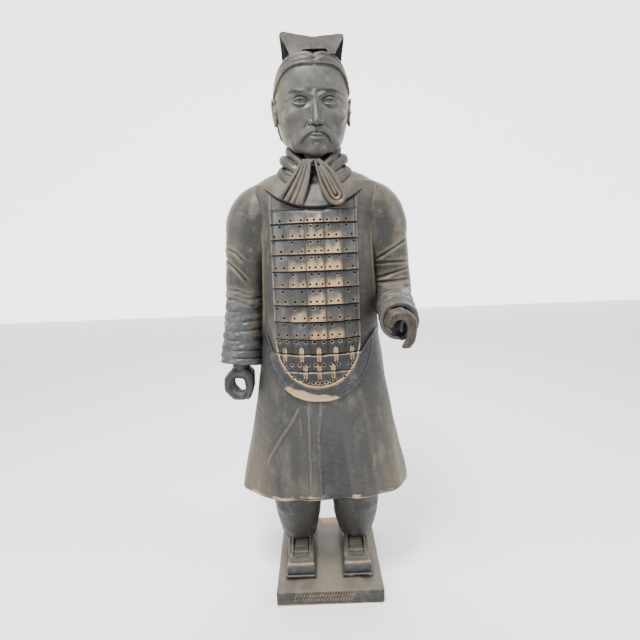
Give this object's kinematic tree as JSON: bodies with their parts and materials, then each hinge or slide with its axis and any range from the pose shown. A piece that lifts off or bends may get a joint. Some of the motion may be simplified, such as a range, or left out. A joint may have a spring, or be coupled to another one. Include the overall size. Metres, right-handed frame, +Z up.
{
  "type": "terracotta warrior statue",
  "caption": "Standing armoured warrior figure in fired clay on a low rectangular plinth, one hand hanging and one raised, each curled round an empty grip.",
  "frame": {"origin": "middle of the plinth's underside", "axes": "+Z up, the statue faces -Y, its left hand is on the +X side"},
  "size_m": [0.6431, 0.547, 1.8153],
  "materials": {
    "dark_slip": "fired clay under a rubbed dark grey slip, buff where it is worn",
    "head_slip": "fired clay under a rubbed blue-grey slip",
    "right_hand_slip": "fired clay under a near-black slip",
    "left_hand_clay": "fired clay, brown and dusty",
    "plinth_slip": "fired clay under a dusty grey slip"
  },
  "bodies": {
    "root": {"plinth": "plinth_slip", "figure": "dark_slip", "head": "head_slip", "right_hand": "right_hand_slip", "left_hand": "left_hand_clay"}
  },
  "joints": []
}
